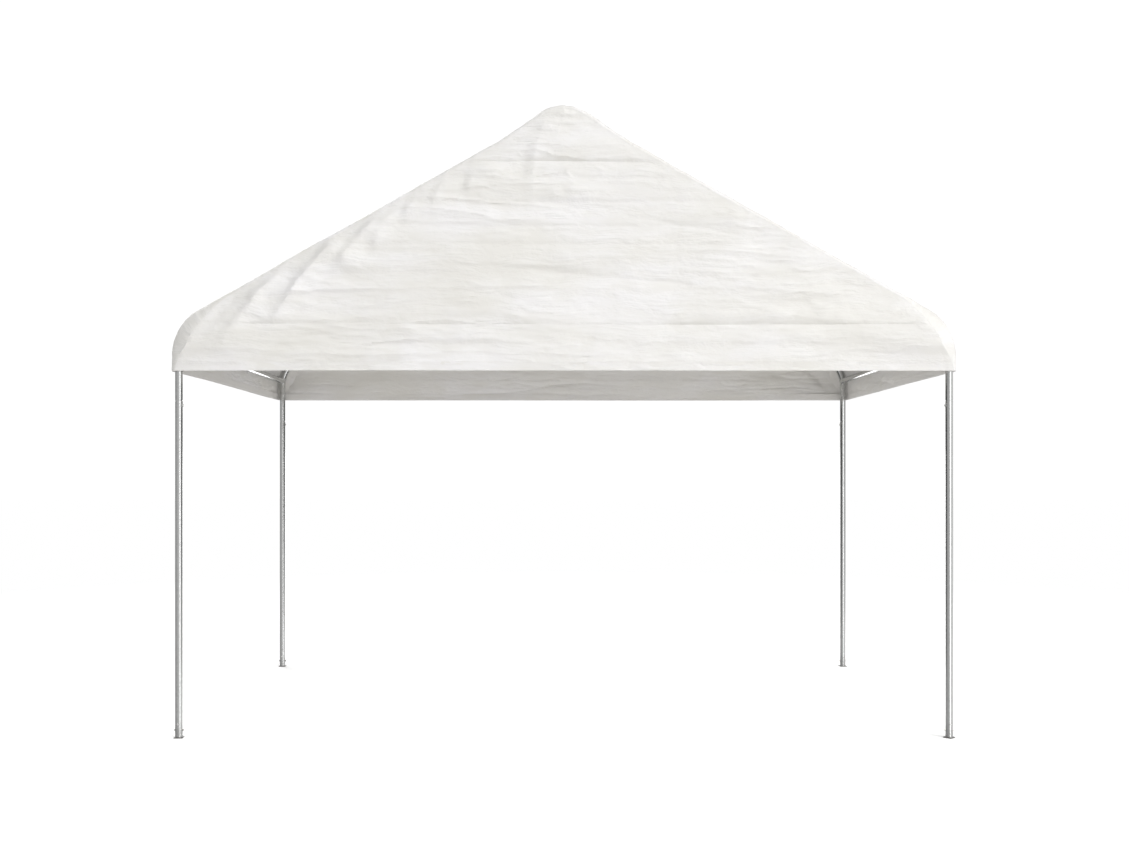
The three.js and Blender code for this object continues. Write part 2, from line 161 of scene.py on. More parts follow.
def add_area(name, location, target, width, height, radiance, on_cloth=True, in_reflections=True):
    data = bpy.data.lights.new(name, "AREA")
    data.shape = "RECTANGLE"
    data.size, data.size_y = width, height
    data.energy = radiance * math.pi * width * height
    light = add_object(name, data)
    light.location = location
    light.rotation_euler = (Vector(target) - Vector(location)).to_track_quat("-Z", "Y").to_euler()
    light.visible_camera = False
    light.visible_diffuse = light.visible_transmission = on_cloth
    light.visible_glossy = in_reflections


class Nodes:
    """The node tree of a material or world, built by calls that give sockets or nodes."""

    def __init__(self, owner):
        owner.use_nodes = True
        owner.node_tree.nodes.clear()
        self.owner = owner

    def add(self, kind, inputs=None, **settings):
        node = self.owner.node_tree.nodes.new(kind)
        for name, value in settings.items():
            setattr(node, name, value)
        for name, value in (inputs or {}).items():
            if isinstance(value, bpy.types.NodeSocket):
                self.owner.node_tree.links.new(value, node.inputs[name])
            else:
                node.inputs[name].default_value = value
        return node

    def place(self, kind="Object"):
        return self.add("ShaderNodeTexCoord").outputs[kind]

    def split(self, vector):
        return self.add("ShaderNodeSeparateXYZ", {0: vector}).outputs

    def seen(self):
        return self.add("ShaderNodeLightPath").outputs["Is Camera Ray"]

    def math(self, operation, first, second=0.0):
        return self.add("ShaderNodeMath", {0: first, 1: second}, operation=operation).outputs[0]

    def times(self, first, second):
        return self.math("MULTIPLY", first, second)

    def total(self, *parts):
        """The sum of the parts. A pair is multiplied first."""
        terms = [self.times(*part) if isinstance(part, tuple) else part for part in parts]
        result = terms[0]
        for term in terms[1:]:
            result = self.math("ADD", result, term)
        return result

    def vector(self, operation, inputs):
        return self.add("ShaderNodeVectorMath", inputs, operation=operation).outputs

    def range(self, value, low, high, to_low=0.0, to_high=1.0):
        inputs = {"Value": value, "From Min": low, "From Max": high, "To Min": to_low, "To Max": to_high}
        return self.add("ShaderNodeMapRange", inputs).outputs[0]

    def mix(self, factor, first, second):
        return self.add("ShaderNodeMix", {0: factor, 6: first, 7: second}, data_type="RGBA").outputs[2]

    def noise(self, vector, scale, detail=2.0, roughness=0.5, output="Fac"):
        inputs = {"Vector": vector, "Scale": scale, "Detail": detail, "Roughness": roughness}
        return self.add("ShaderNodeTexNoise", inputs).outputs[output]

    def ridged(self, vector, detail):
        inputs = {"Vector": vector, "Scale": 1.0, "Detail": detail, "Roughness": 0.55, "Lacunarity": 2.1,
                  "Offset": 1.0, "Gain": 2.0}
        settings = {"noise_type": "RIDGED_MULTIFRACTAL", "normalize": True}
        return self.add("ShaderNodeTexNoise", inputs, **settings).outputs["Fac"]

    def stretched(self, vector, *scale):
        return self.add("ShaderNodeMapping", {"Vector": vector, "Scale": scale}).outputs[0]

    def bump(self, height, strength, distance, **over):
        inputs = {"Height": height, "Strength": strength, "Distance": distance, **over}
        return self.add("ShaderNodeBump", inputs).outputs[0]

    def surface(self, colour, roughness, normal, metallic=0.0):
        return self.add("ShaderNodeBsdfPrincipled", {
            "Base Color": colour, "Roughness": roughness, "Normal": normal, "Metallic": metallic})

    def blend(self, share, first, second):
        return self.add("ShaderNodeMixShader", {0: share, 1: first.outputs[0], 2: second.outputs[0]})

    def finish(self, shader, kind="ShaderNodeOutputMaterial"):
        self.add(kind, {"Surface": shader.outputs[0]})
        return self.owner


def new_material(name):
    return Nodes(bpy.data.materials.new(name))


def grey(value, warmth=0.0):
    return (value * (1 + warmth), value, value * (1 - warmth), 1)


def add_world():
    """White to the camera. To the object it is a softer room, dimmer on the left and behind."""
    world = bpy.data.worlds.new("studio")
    bpy.context.scene.world = world
    nodes = Nodes(world)
    place = nodes.split(nodes.place("Generated"))
    across = nodes.range(place["X"], -1.0, 1.0, 0.42, 0.92)
    behind = nodes.range(place["Y"], 0.1, 0.9, 1.0, 0.60)
    room = nodes.add("ShaderNodeBackground", {"Strength": nodes.times(across, behind), "Color": grey(1)})
    white = nodes.add("ShaderNodeBackground", {"Strength": BACKGROUND, "Color": grey(1)})
    nodes.finish(nodes.blend(nodes.seen(), room, white), "ShaderNodeOutputWorld")


def card(name, corners, material):
    """One flat face."""
    mesh = bpy.data.meshes.new(name)
    mesh.from_pydata(corners, [], [(0, 1, 2, 3)])
    mesh.materials.append(material)
    return add_object(name, mesh)


def add_floor():
    """A pale floor that fades into the white of the studio with distance."""
    nodes = new_material("floor")
    far = nodes.range(nodes.vector("LENGTH", {0: nodes.place()})["Value"], *FLOOR_FADE)
    seen = nodes.seen()
    near = nodes.add("ShaderNodeBsdfPrincipled", {
        "Base Color": nodes.mix(seen, grey(FLOOR_BOUNCE, FLOOR_WARMTH), grey(FLOOR_SEEN)),
        "Roughness": 0.9, "Emission Color": grey(1), "Emission Strength": nodes.times(seen, FLOOR_LIFT)})
    glow = nodes.add("ShaderNodeEmission", {"Color": grey(1), "Strength": nodes.range(seen, 0, 1, 0.75, 1)})
    material = nodes.finish(nodes.blend(far, near, glow))
    corners = [(FLOOR_REACH * x, FLOOR_REACH * y, 0) for x, y in ((-1, -1), (1, -1), (1, 1), (-1, 1))]
    floor = card("floor", corners, material)
    floor.visible_glossy = False


def add_flag(x, near, far, height):
    """A dark upright card, seen only in reflections: it draws the tubes' dark edges."""
    nodes = new_material("flag")
    solid = nodes.range(nodes.split(nodes.place())["Z"], 0.1, 1.8, 0.45, 1.0)
    clear = nodes.add("ShaderNodeBsdfTransparent")
    dark = nodes.add("ShaderNodeBsdfDiffuse", {"Color": grey(0.02)})
    material = nodes.finish(nodes.blend(solid, clear, dark))
    flag = card("flag", [(x, near, 0), (x, far, 0), (x, far, height), (x, near, height)], material)
    flag.visible_camera = flag.visible_diffuse = False
    flag.visible_shadow = flag.visible_transmission = False


# ---- Materials ----
def metal(name, tint, rough, spangle, streak):
    """Coated steel: crystal spangle, faint streaks along the drawn tube, a fine grain, darker and rougher
    low down.
    """
    nodes = new_material(name)
    place = nodes.place()
    wobble = nodes.noise(place, 90.0)
    cells = nodes.add("ShaderNodeTexVoronoi", {"Vector": place, "Scale": 130.0}, feature="F1")
    patch = nodes.add("ShaderNodeSeparateColor", {0: cells.outputs["Color"]}).outputs[0]
    drawn = nodes.noise(nodes.stretched(place, 260.0, 260.0, 7.0), 1.0, 3.0)
    tone = nodes.total((patch, spangle), (drawn, streak), (nodes.noise(place, 5.0, 4.0), 0.25))
    light, dull = (tuple(channel * share for channel in tint) + (1,) for share in (1.06, 0.88))
    colour = nodes.mix(nodes.range(tone, 0.15, 0.75), light, dull)
    level = nodes.split(place)["Z"]
    # Darker and rougher in patches up to 10 cm above the floor, and darker along the whole plate edge.
    near_floor_darkening = nodes.total((nodes.range(level, 0.0, 0.10, 0.7, 0.0), nodes.noise(place, 60.0, 4.0)),
                          nodes.range(level, 0.0035, 0.0045, 0.65, 0.0))  # below that, the plate's edge, darkened all along
    colour = nodes.mix(near_floor_darkening, colour, grey(0.22, 0.05))
    roughness = nodes.total((patch, 0.05), (wobble, 0.05), (near_floor_darkening, 0.25), rough)
    bump = nodes.bump(nodes.total((wobble, 0.6), (drawn, 0.4)), 0.05, 0.0002)
    return nodes.finish(nodes.surface(colour, roughness, bump, metallic=1.0))


def fabric():
    """White woven polyethylene tape between two clear films: crinkled, slightly glossy, lets light in."""
    nodes = new_material("sheet_finish")
    flat = nodes.add("ShaderNodeUVMap", uv_map="sheet").outputs[0]
    tapes = 2 * math.pi / 0.005  # two tapes, one over and one under, in each 5 mm
    over, under = (nodes.math("SINE", nodes.times(nodes.split(flat)[axis], tapes)) for axis in "XY")

    wander = nodes.noise(flat, 3.0, 1.0, output="Color")
    drift = nodes.vector("SCALE", {0: wander, "Scale": 0.09})[0]
    loose = nodes.vector("ADD", {0: flat, 1: drift})[0]
    cloud = nodes.noise(nodes.stretched(loose, 1.1, 3.4, 1.0), 1.0, 5.0, 0.6)
    blotch = nodes.noise(nodes.stretched(loose, 5.0, 9.0, 1.0), 1.0, 4.0, 0.6)
    threads = nodes.noise(nodes.stretched(loose, 9.0, 190.0, 1.0), 1.0, 3.0, 0.6)
    ridges = nodes.ridged(nodes.stretched(loose, 1.1, 16.0, 1.0), 5.0)
    crumple = nodes.ridged(nodes.stretched(loose, 6.0, 38.0, 1.0), 4.0)
    calm = nodes.range(blotch, 0.40, 0.64, 0.10, 1.0)

    tint = nodes.mix(nodes.range(cloud, 0.35, 0.65), (0.750, 0.741, 0.716, 1), (0.772, 0.764, 0.762, 1))
    dirt = nodes.range(nodes.total((cloud, 0.6), (blotch, 0.4)), 0.38, 0.58, 0.75, 0.0)
    colour = nodes.mix(dirt, tint, (0.700, 0.687, 0.650, 1))
    colour = nodes.mix(nodes.range(threads, 0.58, 0.85, 0.0, 0.25), colour, (0.60, 0.585, 0.55, 1))
    shine = nodes.range(nodes.noise(nodes.place(), 6.0, 4.0), 0.3, 0.7, 0.40, 0.60)

    height = nodes.total((nodes.times(ridges, calm), 0.70), (nodes.times(crumple, calm), 0.13),
                         (threads, 0.09))
    coarse = nodes.bump(height, 0.52, 0.006)
    fine = nodes.bump(nodes.times(over, under), 0.25, 0.0002, Normal=coarse)
    through = nodes.add("ShaderNodeBsdfTranslucent", {"Color": colour, "Normal": coarse})
    return nodes.finish(nodes.blend(0.03, nodes.surface(colour, shine, fine), through))


def thread():
    """Twisted white polyester sewing thread."""
    nodes = new_material("thread_finish")
    twist = nodes.noise(nodes.place(), 2500.0, 1.0)
    colour = nodes.mix(twist, grey(0.62, 0.02), grey(0.78, 0.01))
    return nodes.finish(nodes.surface(colour, 0.6, nodes.bump(twist, 0.4, 0.0002)))


GALVANISED = metal("galvanised_finish", (0.66, 0.665, 0.66), 0.13, 0.35, 0.25)
ZINC = metal("zinc_finish", (0.76, 0.75, 0.72), 0.12, 0.20, 0.15)
BUTTON = metal("button_finish", (0.93, 0.92, 0.90), 0.34, 0.10, 0.05)
FABRIC = fabric()
THREAD = thread()


# ---- Mesh making ----
class Solid:
    """Collects closed shells of rings, then becomes one piece."""

    def __init__(self):
        self.bm = bmesh.new()

    def loft(self, rings, closed=False):
        """Joins rings of equal length in a row. A ring of one point is a pole."""
        rows = [[self.bm.verts.new(point) for point in ring] for ring in rings]
        pairs = list(zip(rows, rows[1:]))
        if closed:
            pairs.append((rows[-1], rows[0]))
        for near, far in pairs:
            count = max(len(near), len(far))
            for i in range(count):
                k = (i + 1) % count
                corners = [near[i % len(near)], near[k % len(near)], far[k % len(far)], far[i % len(far)]]
                self.bm.faces.new(list(dict.fromkeys(corners)))

    def piece(self, name, material):
        bmesh.ops.recalc_face_normals(self.bm, faces=self.bm.faces)
        mesh = bpy.data.meshes.new(name)
        self.bm.to_mesh(mesh)
        self.bm.free()
        mesh.materials.append(material)
        return add_object(name, mesh)


def shade(mesh, angle=math.radians(32)):
    """Smooth faces, with the edges that turn more than the angle kept sharp."""
    bm = bmesh.new()
    bm.from_mesh(mesh)
    for face in bm.faces:
        face.smooth = True
    for edge in bm.edges:
        edge.smooth = len(edge.link_faces) != 2 or edge.calc_face_angle(0) < angle
    bm.to_mesh(mesh)
    bm.free()


def carve(piece, cutters):
    """Cuts closed cutters out of the piece, and removes them."""
    for cutter in cutters:
        cut = piece.modifiers.new("cut", "BOOLEAN")
        cut.object = cutter
        cut.operation = "DIFFERENCE"
        cut.solver = "EXACT"
    graph = bpy.context.evaluated_depsgraph_get()
    carved = bpy.data.meshes.new_from_object(piece.evaluated_get(graph))
    piece.modifiers.clear()
    piece.data = carved
    for cutter in cutters:
        bpy.data.objects.remove(cutter)


def merge(piece, extra):
    """Moves the extra object's mesh into the piece."""
    bm = bmesh.new()
    bm.from_mesh(piece.data)
    bm.from_mesh(extra.data)
    bm.to_mesh(piece.data)
    bm.free()
    bpy.data.objects.remove(extra)


def fit(piece, body, *nodes):
    """The piece rides on the body and stands for the CAD nodes."""
    shade(piece.data)
    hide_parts(*nodes)
    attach(piece, body)


def ring(centre, axis, side, radius, count):
    across = axis.cross(side).normalized()
    turns = [2 * math.pi * i / count for i in range(count)]
    return [centre + radius * (math.cos(t) * side + math.sin(t) * across) for t in turns]


def bend(before, corner, after, radius):
    """A rounded corner: how far it turns, and what gives the point and heading at an angle round it."""
    way_in = (corner - before).normalized()
    way_out = (after - corner).normalized()
    turn = way_in.angle(way_out)
    start = corner - way_in * radius * math.tan(turn / 2)
    inward = (way_out - way_in * math.cos(turn)).normalized()

    def at(angle):
        offset = way_in * math.sin(angle) + inward * (1 - math.cos(angle))
        return start + radius * offset, way_in * math.cos(angle) + inward * math.sin(angle)

    return turn, at


def distances(points):
    """How far along the points each one is."""
    marks = [0.0]
    for near, far in zip(points, points[1:]):
        marks.append(marks[-1] + (far - near).length)
    return marks


class Path:
    """A centreline of straight runs and round bends."""

    def __init__(self, corners, radii=(), step=math.radians(4)):
        corners = [Vector(corner) for corner in corners]
        self.points = [corners[0]]
        self.headings = [(corners[1] - corners[0]).normalized()]
        for before, corner, after, radius in zip(corners, corners[1:], corners[2:], radii):
            turn, at = bend(before, corner, after, radius)
            spans = math.ceil(turn / step)
            for k in range(spans + 1):
                self.add(*at(turn * k / spans))
        self.add(corners[-1], (corners[-1] - corners[-2]).normalized())
        self.marks = distances(self.points)
        self.length = self.marks[-1]

    def add(self, point, heading):
        self.points.append(point)
        self.headings.append(heading)

    def at(self, mark):
        """The point and heading at a distance along the path."""
        index = max(i for i, start in enumerate(self.marks[:-1]) if start <= mark or i == 0)
        share = (mark - self.marks[index]) / (self.marks[index + 1] - self.marks[index])
        point = self.points[index].lerp(self.points[index + 1], share)
        return point, self.headings[index].lerp(self.headings[index + 1], share).normalized()


def sweep(solid, path, profile, side, count=TUBE_SIDES):
    """Sweeps a closed profile of (distance along the path, radius) round the path's centreline."""
    stations = []
    for (near, near_radius), (far, far_radius) in zip(profile, profile[1:] + profile[:1]):
        stations.append((near, near_radius))
        between = [mark for mark in path.marks if min(near, far) < mark < max(near, far)]
        for mark in sorted(between, reverse=far < near):
            share = (mark - near) / (far - near)
            stations.append((mark, near_radius + share * (far_radius - near_radius)))
    solid.loft([ring(*path.at(mark), side, radius, count) for mark, radius in stations], closed=True)


def tube_profile(length, radius, bore):
    """A plain tube's wall, its edges slightly broken."""
    return [(0, radius - EDGE), (EDGE, radius), (length - EDGE, radius), (length, radius - EDGE),
            (length, bore + EDGE), (length - EDGE, bore), (EDGE, bore), (0, bore + EDGE)]


def fitting_profile(length):
    """A tube narrowed to a spigot at each end."""
    near, far = SPIGOT_LENGTH, length - SPIGOT_LENGTH
    plain = tube_profile(length, SPIGOT_RADIUS, SPIGOT_BORE)
    return plain[:2] + [
        (near, SPIGOT_RADIUS), (near + SWAGE / 2, SWAGE_HALFWAY), (near + SWAGE, TUBE_RADIUS),
        (far - SWAGE, TUBE_RADIUS), (far - SWAGE / 2, SWAGE_HALFWAY), (far, SPIGOT_RADIUS)] + plain[2:]


def straight_tube(solid, start, end, radius, bore, side=X):
    path = Path([start, end])
    sweep(solid, path, tube_profile(path.length, radius, bore), side)


def lathe(solid, profile, place, count=SMALL_SIDES, shape=None):
    """Turns (radius, height) round the place's own Z. The shape gives a radius for an angle."""
    rings = []
    for radius, height in profile:
        if radius == 0:
            rings.append([place @ Vector((0, 0, height))])
            continue
        points = []
        for i in range(count):
            turn = 2 * math.pi * i / count
            reach = min(radius, shape(turn)) if shape else radius
            points.append(place @ Vector((reach * math.cos(turn), reach * math.sin(turn), height)))
        rings.append(points)
    solid.loft(rings, closed=profile[0][0] != 0)


def facing(centre, outward):
    """The place whose own Z points outward from the centre."""
    return Matrix.Translation(centre) @ Vector(outward).to_track_quat("Z", "Y").to_matrix().to_4x4()


def dome(radius, base, rise, *angles):
    """The outline of a dome from its rim up, at angles in degrees: (radius, height)."""
    return [(radius * math.cos(a), base + rise * math.sin(a)) for a in map(math.radians, angles)]


def hexagon(radius):
    def reach(turn):
        return radius * math.cos(math.pi / 6) / math.cos(turn % (math.pi / 3) - math.pi / 6)
    return reach


def cutter(place, radius, low, high, count=SMALL_SIDES):
    solid = Solid()
    lathe(solid, [(0, low), (radius, low), (radius, high), (0, high)], place, count)
    return solid.piece("cutter", GALVANISED)


def add_turned(name, body, profile, place, material=ZINC, count=SMALL_SIDES, shape=None):
    """A turned piece that stands for the node of its name."""
    solid = Solid()
    lathe(solid, profile, place, count, shape)
    fit(solid.piece("fine_" + name, material), body, name)


def weld_bead(solid, centre, along, outward, stub_radius):
    """The bead where a stub stands on the side of a tube: it follows the saddle between them."""
    across = along.cross(outward)
    count = 72
    rings = []
    for i in range(count):
        turn = 2 * math.pi * i / count
        reach = stub_radius + BEAD_RADIUS * 0.3
        spread = along * math.cos(turn) + across * math.sin(turn)
        lift = math.sqrt(max(TUBE_RADIUS ** 2 - (reach * math.sin(turn)) ** 2, 1e-9))
        middle = centre + spread * reach + outward * lift
        size = BEAD_RADIUS * (1 + 0.14 * math.sin(turn * 23))
        rings.append([middle + size * (math.cos(a) * spread + math.sin(a) * outward)
                      for a in (2 * math.pi * k / 8 for k in range(8))])
    solid.loft(rings, closed=True)


# ---- Fasteners ----
def add_screw(name, body, centre, outward, seat=TUBE_RADIUS, tip=SCREW_TIP_RADIUS):
    """A pan-head screw with a socket in its head."""
    base = seat + TOUCH_GAP
    top = base + SCREW_HEAD_HEIGHT
    profile = [(0, tip), (SCREW_RADIUS * 0.7, tip), (SCREW_RADIUS, tip + 0.0008), (SCREW_RADIUS, base),
               (SCREW_HEAD_RADIUS, base)]
    profile += dome(SCREW_HEAD_RADIUS, base + SCREW_HEAD_RIM, SCREW_HEAD_HEIGHT - SCREW_HEAD_RIM,
                    0, 18, 36, 54, 68)
    profile += [(SCREW_HEAD_RADIUS * 0.34, top), (SCREW_HEAD_RADIUS * 0.30, top - 0.0003),
                (SCREW_HEAD_RADIUS * 0.26, top - 0.0016), (0, top - 0.0019)]
    add_turned(name, body, profile, facing(centre, outward))


def threaded(low, high, radius):
    """A screw thread's outline, as shallow grooves."""
    count = max(1, round((high - low) / THREAD_PITCH))
    pitch = (high - low) / count
    root = radius - THREAD_DEPTH
    profile = []
    for start in (low + i * pitch for i in range(count)):
        profile += [(root, start), (radius, start + pitch * 0.4), (radius, start + pitch * 0.6)]
    return profile + [(root, high)]


def add_foot_bolt(corner, body, centre, outward):
    place = facing(centre, outward)
    base = TUBE_RADIUS + TOUCH_GAP
    tail = -(TUBE_RADIUS + 2 * TOUCH_GAP + NUT_HEIGHT + BOLT_TAIL)
    solid = Solid()
    thread_profile = threaded(tail + 0.0005, -TUBE_RADIUS + 0.006, FOOT_BOLT_RADIUS)
    lathe(solid, [(0, tail), (FOOT_BOLT_RADIUS * 0.7, tail)] + thread_profile +
          [(FOOT_BOLT_RADIUS - 0.0001, base + 0.001), (0, base + 0.001)], place)
    head = [(0, base), (HEX_RADIUS, base), (HEX_RADIUS, base + BOLT_HEAD * 0.7),
            (HEX_RADIUS * 0.90, base + BOLT_HEAD), (HEX_RADIUS * 0.62, base + BOLT_HEAD),
            (HEX_RADIUS * 0.55, base + BOLT_HEAD - 0.0003), (0, base + BOLT_HEAD - 0.0003)]
    lathe(solid, head, place, HEX_SIDES, hexagon(HEX_RADIUS))
    fit(solid.piece(f"fine_foot_bolt_{corner}", ZINC), body, f"foot_bolt_{corner}")

    near = -(TUBE_RADIUS + 2 * TOUCH_GAP)
    far = near - NUT_HEIGHT
    bore = FOOT_BOLT_RADIUS + TOUCH_GAP
    nut = [(bore, near), (HEX_RADIUS * 0.90, near), (HEX_RADIUS, near - 0.0009), (HEX_RADIUS, far + 0.0009),
           (HEX_RADIUS * 0.90, far), (bore + 0.0004, far), (bore, far + 0.0005)]
    add_turned(f"foot_nut_{corner}", body, nut, place, ZINC, HEX_SIDES, hexagon(HEX_RADIUS))


def add_snap_button(corner, centre, outward):
    shoulder = TUBE_RADIUS + BUTTON_PROUD / 2
    low = BUTTON_FLANGE_SEAT - BUTTON_FLANGE_THICKNESS
    profile = [(0, low), (BUTTON_FLANGE_RADIUS, low), (BUTTON_FLANGE_RADIUS, BUTTON_FLANGE_SEAT),
               (BUTTON_RADIUS, BUTTON_FLANGE_SEAT), *dome(BUTTON_RADIUS, shoulder, BUTTON_PROUD / 2,
                                                          0, 15, 30, 45, 60, 75),
               (0, TUBE_RADIUS + BUTTON_PROUD)]
    name = f"snap_button_{corner}"
    add_turned(name, name, profile, facing(centre, outward), BUTTON)


# ---- Legs and feet ----
def add_foot(corner, body, base, holes_in_spigot):
    half = PLATE_SIDE / 2
    place = Matrix.Translation(base) @ Matrix.Rotation(math.radians(PLATE_YAW[corner]), 4, "Z")
    outline = []
    for x, y in ((1, 1), (-1, 1), (-1, -1), (1, -1)):
        middle = (half - PLATE_CORNER) * Vector((x, y, 0))
        start = math.atan2(y, x) - math.pi / 4
        outline += [middle + PLATE_CORNER * Vector((math.cos(a), math.sin(a), 0))
                    for a in (start + math.pi / 10 * k for k in range(6))]

    def level(height, shrink):
        return [place @ (point * (1 - shrink / half) + Z * height) for point in outline]

    solid = Solid()
    solid.loft([[place @ Vector()], level(0, PLATE_CHAMFER), level(PLATE_CHAMFER, 0),
                level(PLATE_TOP - PLATE_CHAMFER, 0), level(PLATE_TOP, PLATE_CHAMFER),
                [place @ (Z * PLATE_TOP)]])
    plate = solid.piece(f"fine_foot_{corner}", GALVANISED)
    spots = [place @ (offset * Vector((1, 1, 0))) for offset in (-PEG_HOLE_OFFSET, PEG_HOLE_OFFSET)]
    carve(plate, [cutter(Matrix.Translation(spot), PEG_HOLE_RADIUS, -0.002, PLATE_TOP + 0.002)
                  for spot in spots])

    spigot = Solid()
    straight_tube(spigot, base + Z * (PLATE_TOP - SPIGOT_SUNK), base + Z * (PLATE_TOP + SPIGOT_LENGTH),
                  SPIGOT_RADIUS, SPIGOT_BORE)
    sleeve = spigot.piece("spigot", GALVANISED)
    carve(sleeve, holes_in_spigot)
    merge(plate, sleeve)
    fit(plate, body, f"foot_{corner}")


def leg_cutters(base, bolt_axis, button_outward):
    bolt = facing(base + Z * FOOT_BOLT_Z, bolt_axis)
    button = facing(base + Z * BUTTON_Z, button_outward)
    return [cutter(bolt, FOOT_BOLT_RADIUS + TOUCH_GAP, -0.03, 0.03),
            cutter(button, BUTTON_RADIUS + TOUCH_GAP, 0.008, 0.03)]


def add_leg(corner, side_sign, end_sign):
    body = f"leg_{corner}"
    base = Vector((side_sign * LEG_X, end_sign * LEG_Y, 0))
    outer, inner, button_outward = X * side_sign, X * -side_sign, -Y
    solid = Solid()
    straight_tube(solid, base + Z * LEG_BOTTOM, base + Z * LEG_TOP, TUBE_RADIUS, TUBE_BORE)
    tube = solid.piece(f"fine_leg_{corner}", GALVANISED)
    screw_centre = base + Z * (LEG_TOP - LEG_SCREW_DROP)
    screw_place = facing(screw_centre, inner)
    bore = SCREW_RADIUS + TOUCH_GAP
    carve(tube, leg_cutters(base, outer, button_outward) + [cutter(screw_place, bore, 0.010, 0.03)])

    nut = Solid()
    top = TUBE_RADIUS + WELD_NUT_HEIGHT
    lathe(nut, [(bore, TUBE_BORE), (WELD_NUT_RADIUS, TUBE_BORE), (WELD_NUT_RADIUS, top - 0.0008),
                (WELD_NUT_RADIUS * 0.91, top), (bore + 0.0004, top), (bore, top - 0.0004)],
          screw_place, HEX_SIDES, hexagon(WELD_NUT_RADIUS))
    weld_bead(nut, screw_centre, Z, inner, WELD_NUT_RADIUS * 0.9)
    merge(tube, nut.piece("boss", GALVANISED))
    fit(tube, body, f"leg_{corner}")

    add_foot(corner, body, base, leg_cutters(base, outer, button_outward))
    add_foot_bolt(corner, body, base + Z * FOOT_BOLT_Z, outer)
    add_snap_button(corner, base + Z * BUTTON_Z, button_outward)
    add_screw(f"leg_screw_{corner}", body, screw_centre, inner, top, TUBE_BORE)


# ---- Roof frame ----
def rafter_heading(side_sign):
    return Vector((-side_sign * math.cos(PITCH), 0, math.sin(PITCH)))


def rafter_point(side_sign, y, x):
    return Vector((side_sign * x, y, EAVE_Z + (LEG_X - x) * math.tan(PITCH)))


def add_fitting(name, corners, radii, purlin_at, inward):
    """A bent tube with a spigot at each end, and a third spigot across it for the purlin."""
    first = (corners[1] - corners[0]).normalized()
    last = (corners[-1] - corners[-2]).normalized()
    ends = [corners[0] - first * SPIGOT_LENGTH] + corners[1:-1] + [corners[-1] + last * SPIGOT_LENGTH]
    path = Path(ends, radii)
    solid = Solid()
    sweep(solid, path, fitting_profile(path.length), Y)
    straight_tube(solid, purlin_at + inward * (SPIGOT_BORE + 0.0005),
                  purlin_at + inward * (TUBE_RADIUS + SPIGOT_LENGTH), SPIGOT_RADIUS, SPIGOT_BORE)
    nearest = min(range(len(path.points)), key=lambda i: (path.points[i] - purlin_at).length)
    weld_bead(solid, purlin_at, path.headings[nearest], inward, SPIGOT_RADIUS)
    fit(solid.piece("fine_" + name, GALVANISED), "roof_frame", name)


def add_corner_fitting(corner, side_sign, end_sign):
    y = end_sign * LEG_Y
    eave = Vector((side_sign * LEG_X, y, EAVE_Z))
    corners = [Vector((side_sign * LEG_X, y, LEG_TOP + TOUCH_GAP)), eave,
               eave + rafter_heading(side_sign) * CORNER_ARM]
    purlin_at = Vector((side_sign * EAVE_PURLIN_X, y, EAVE_PURLIN_Z))
    add_fitting(f"corner_fitting_{corner}", corners, [CORNER_BEND_RADIUS], purlin_at, -Y * end_sign)


def add_ridge_fitting(end, end_sign):
    y = end_sign * LEG_Y
    arm_ends = [rafter_point(s, y, RIDGE_JOINT_X) + rafter_heading(s) * TOUCH_GAP for s in (-1, 1)]
    corners = [arm_ends[0], rafter_point(-1, y, RIDGE_ARM_X), Vector((0, y, RIDGE_APEX_Z)),
               rafter_point(1, y, RIDGE_ARM_X), arm_ends[1]]
    radii = [KINK_RADIUS, RIDGE_BEND_RADIUS, KINK_RADIUS]
    add_fitting(f"ridge_fitting_{end}", corners, radii, Vector((0, y, RIDGE_Z)), -Y * end_sign)


def add_tube(name, start, end, side):
    solid = Solid()
    straight_tube(solid, start, end, TUBE_RADIUS, TUBE_BORE, side)
    fit(solid.piece("fine_" + name, GALVANISED), "roof_frame", name)


def add_rafter(corner, side_sign, end_sign):
    y = end_sign * LEG_Y
    heading = rafter_heading(side_sign)
    underside = Vector((-side_sign * math.sin(PITCH), 0, -math.cos(PITCH)))
    low = Vector((side_sign * LEG_X, y, EAVE_Z)) + heading * (CORNER_ARM + TOUCH_GAP)
    high = rafter_point(side_sign, y, RIDGE_JOINT_X)
    add_tube(f"rafter_{corner}", low, high, Y)
    add_screw(f"rafter_screw_low_{corner}", "roof_frame", low + heading * SCREW_FROM_END, underside)
    add_screw(f"rafter_screw_high_{corner}", "roof_frame", high - heading * SCREW_FROM_END, underside)


def add_purlin(name, x, z):
    add_tube(name, Vector((x, -PURLIN_END, z)), Vector((x, PURLIN_END, z)), X)
    for end, end_sign in ENDS.items():
        centre = Vector((x, end_sign * (PURLIN_END - SCREW_FROM_END), z))
        add_screw(f"{name}_screw_{end}", "roof_frame", centre, -Z)


# ---- Cover ----
SIDE_STEPS = 10
SHOULDER_STEPS = 24
ROOF_STEPS = 112
KINK_STEPS = 4
ARM_STEPS = 14
RIDGE_STEPS = 14
DEPTH_STEPS = 72
WIDTH_STEPS = 160
EDGE_STEPS = 6
COVER_ROOF_OFFSET = 0.022
SHOULDER_RADIUS = 0.272
COVER_KINK_RADIUS = 0.300
EDGE_DEPTH = 0.035  # front to back, of the rounded edge between a gable and the roof
EDGE_INSET = 0.024  # in the gable's plane, of the same edge
SHOULDER_INSET = 0.090  # the same, round the shoulder, where the gable is cut smaller
SHOULDER_PROUD = 0.040
EDGE_ROUND = 0.004  # how far in from the outline the middle of the edge's curve is drawn
SEAM_REACH = 0.36  # how far into the gable the shoulder still pushes it out
HEM_ALLOWANCE = 0.045
HEM_GAP = 0.003
